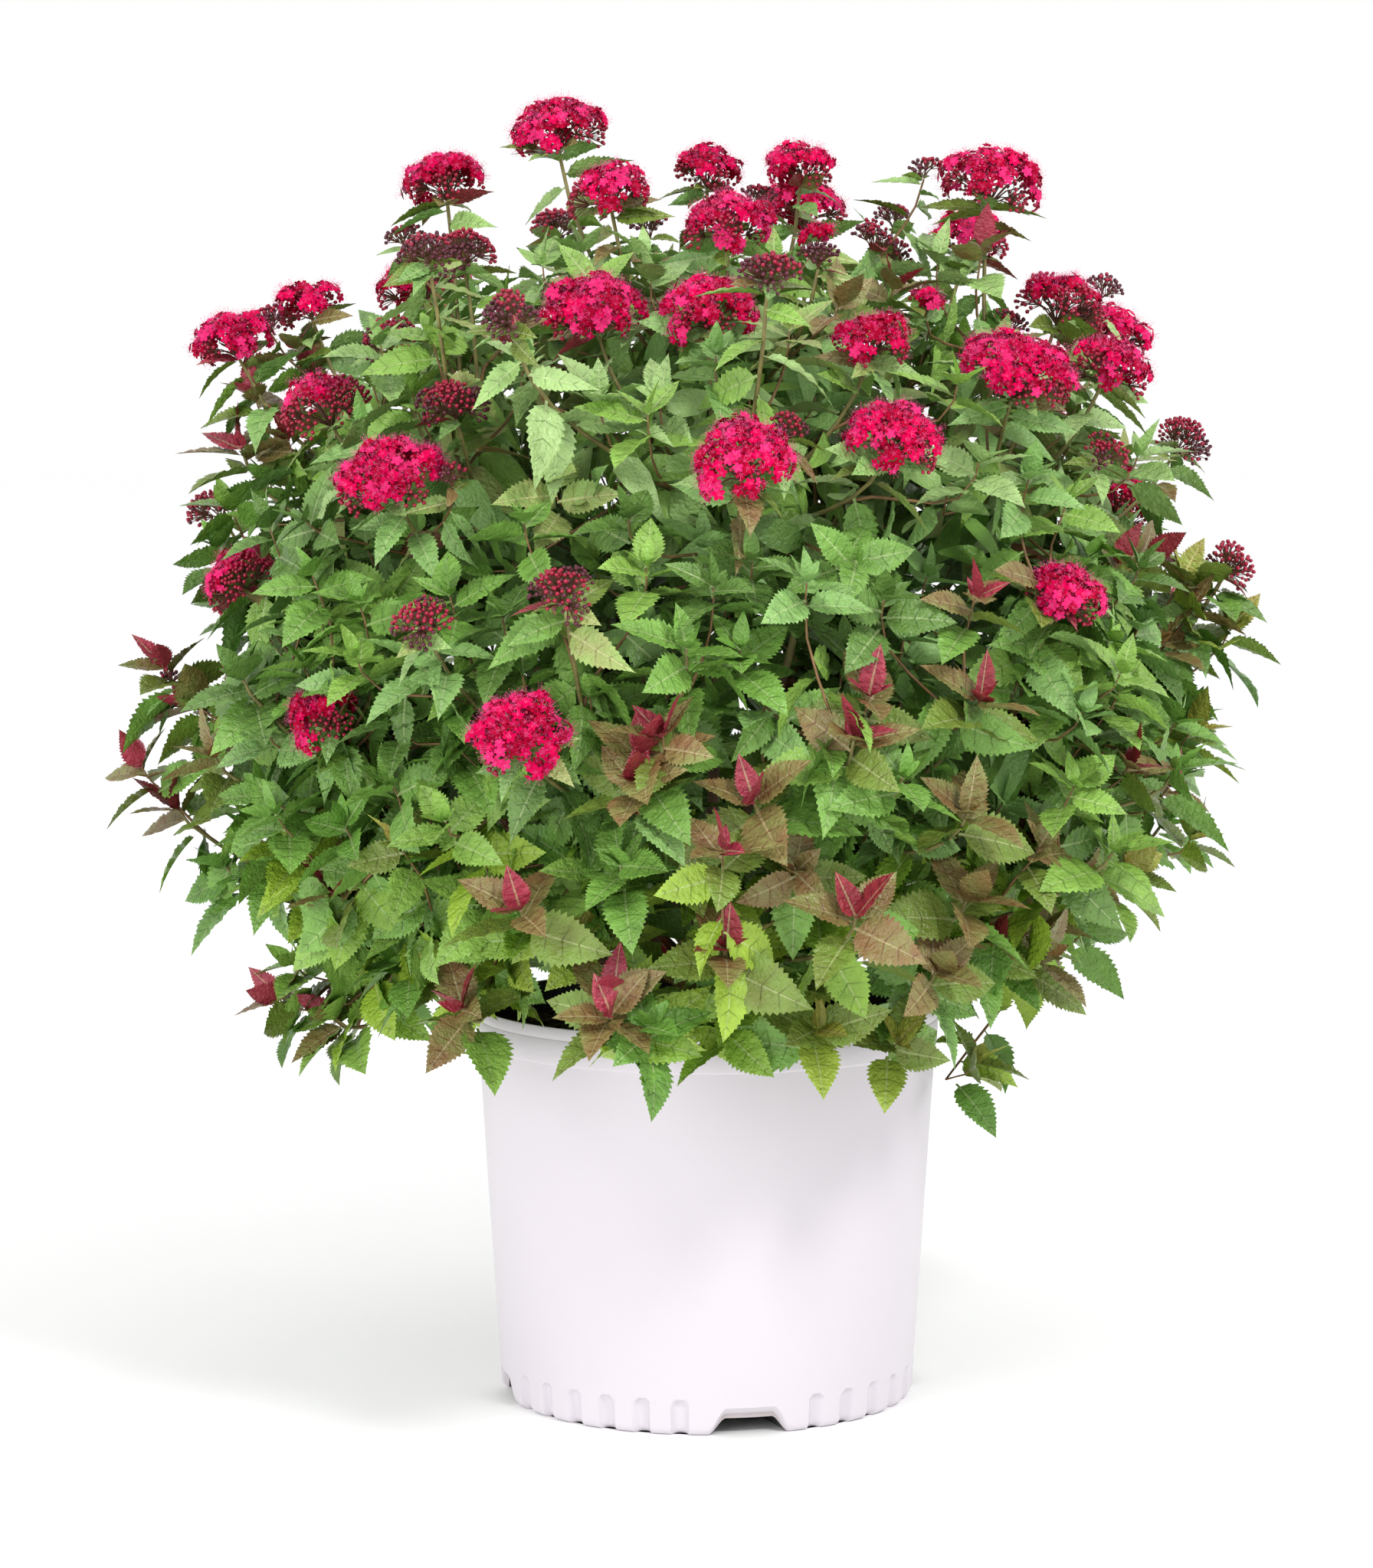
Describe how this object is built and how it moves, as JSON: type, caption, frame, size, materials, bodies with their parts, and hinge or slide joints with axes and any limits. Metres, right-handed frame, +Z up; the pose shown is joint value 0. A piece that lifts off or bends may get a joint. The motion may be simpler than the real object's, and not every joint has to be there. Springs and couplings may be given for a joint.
{
  "type": "potted spirea",
  "caption": "Flowering shrub in a white nursery pot, with canes fanning out to leafy masses under domed red flower heads.",
  "frame": {"origin": "centre of the flat underside of the pot", "axes": "+Z up along the pot's axis, the plant seen from the front along +Y, +X to its right"},
  "size_m": [0.6807, 0.6834, 0.7713],
  "materials": {
    "pot_plastic": "white satin plastic",
    "potting_mix": "moist shredded bark",
    "bark": "thin brown bark",
    "foliage": "matt green leaves"
  },
  "bodies": {
    "root": {"pot": "pot_plastic", "potting_mix": "potting_mix", "trunk": "bark", "bough_low_1": "bark", "bough_low_2": "bark", "bough_low_3": "bark", "bough_low_4": "bark", "bough_low_5": "bark", "bough_low_6": "bark", "bough_low_7": "bark", "bough_low_8": "bark", "bough_low_9": "bark", "bough_middle_1": "bark", "bough_middle_2": "bark", "bough_middle_3": "bark", "bough_middle_4": "bark", "bough_middle_5": "bark", "bough_middle_6": "bark", "bough_middle_7": "bark", "bough_middle_8": "bark", "bough_upper_1": "bark", "bough_upper_2": "bark", "bough_upper_3": "bark", "bough_upper_4": "bark", "bough_upper_5": "bark", "bough_top": "bark", "foliage_low_1": "foliage", "foliage_low_2": "foliage", "foliage_low_3": "foliage", "foliage_low_4": "foliage", "foliage_low_5": "foliage", "foliage_low_6": "foliage", "foliage_low_7": "foliage", "foliage_low_8": "foliage", "foliage_low_9": "foliage", "foliage_middle_1": "foliage", "foliage_middle_2": "foliage", "foliage_middle_3": "foliage", "foliage_middle_4": "foliage", "foliage_middle_5": "foliage", "foliage_middle_6": "foliage", "foliage_middle_7": "foliage", "foliage_middle_8": "foliage", "foliage_upper_1": "foliage", "foliage_upper_2": "foliage", "foliage_upper_3": "foliage", "foliage_upper_4": "foliage", "foliage_upper_5": "foliage", "foliage_top": "foliage"}
  },
  "joints": []
}
